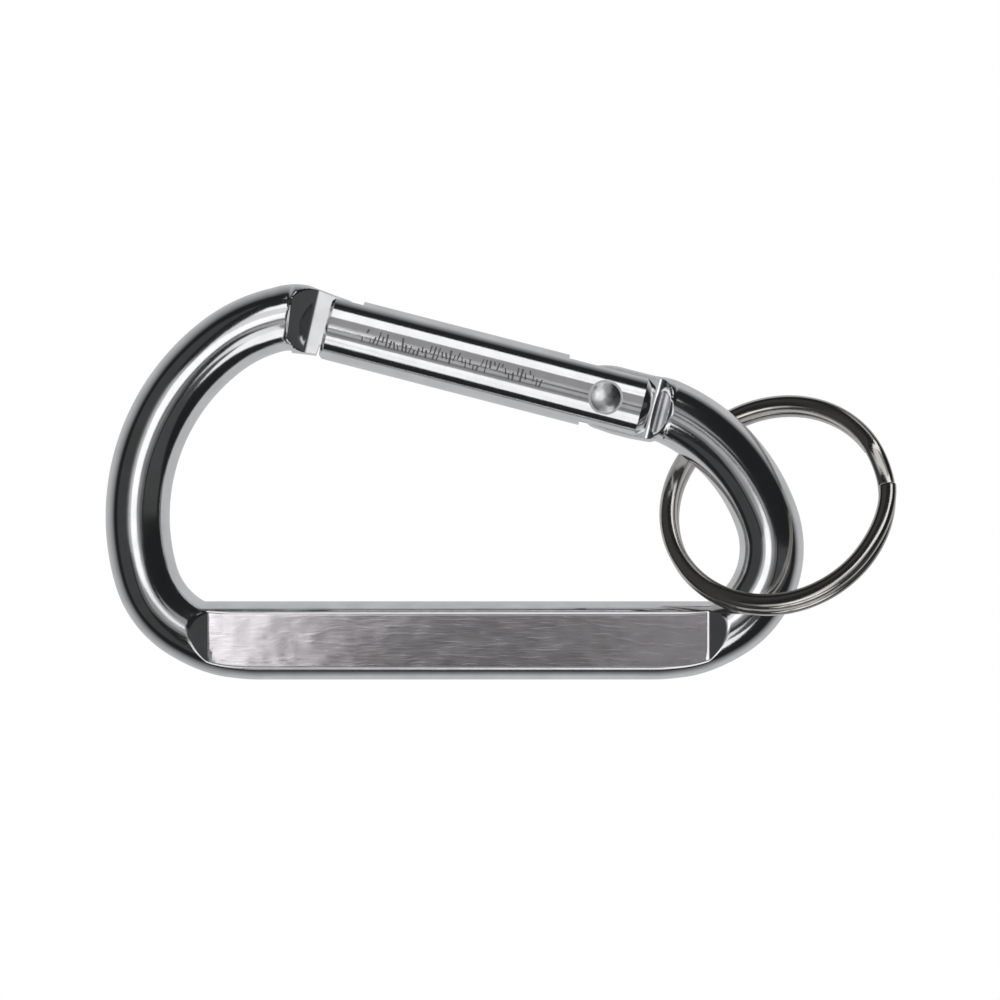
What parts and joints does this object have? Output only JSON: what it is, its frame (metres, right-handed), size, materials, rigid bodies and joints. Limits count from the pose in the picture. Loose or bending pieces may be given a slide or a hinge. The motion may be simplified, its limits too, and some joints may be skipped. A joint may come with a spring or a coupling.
{
  "type": "carabiner keyring",
  "caption": "Pear-shaped rod carabiner with a pressed flat spine, an inward-opening sprung gate and a two-turn split key ring.",
  "frame": {"origin": "centre of the spine's upper pressed flat face", "axes": "+X along the spine towards the split ring, +Y across the loop from the spine towards the gate, +Z out of the upper flat face"},
  "size_m": [0.0861, 0.0433, 0.0153],
  "materials": {
    "polished_rod": "polished",
    "polished_gate": "polished",
    "rivet": "polished",
    "spring_wire": "drawn wire",
    "plunger": "turned",
    "nickel_wire": "nickel plated"
  },
  "bodies": {
    "frame": {"frame_body": "polished_rod"},
    "gate_arm": {"gate": "polished_gate", "hinge_rivet": "rivet", "gate_spring": "spring_wire"},
    "plunger": {"spring_plunger": "plunger"},
    "key_ring": {"split_ring": "nickel_wire"}
  },
  "joints": [
    {"name": "gate_hinge", "type": "hinge", "parent": "frame", "child": "gate_arm", "pos_m": [0.01604, 0.02647, -0.0025], "axis": [0, 0, 1], "range_deg": [0, 45], "stiffness_Nm_per_rad": 0.02, "springref_deg": -34.38},
    {"name": "plunger_slide", "type": "slide", "parent": "gate_arm", "child": "plunger", "axis": [-0.9683, 0.2497, 0], "range_m": [0, 0.00085], "deforming": ["gate_spring"]},
    {"name": "ring_swing", "type": "hinge", "parent": "frame", "child": "key_ring", "pos_m": [0.03423, 0.01005, -0.0025], "axis": [-0.5, 0.866, 0], "range_deg": [0, 170]}
  ],
  "couplings": [
    {"joint": "plunger_slide", "follows": "gate_hinge", "m_per_rad": 0.001072}
  ]
}
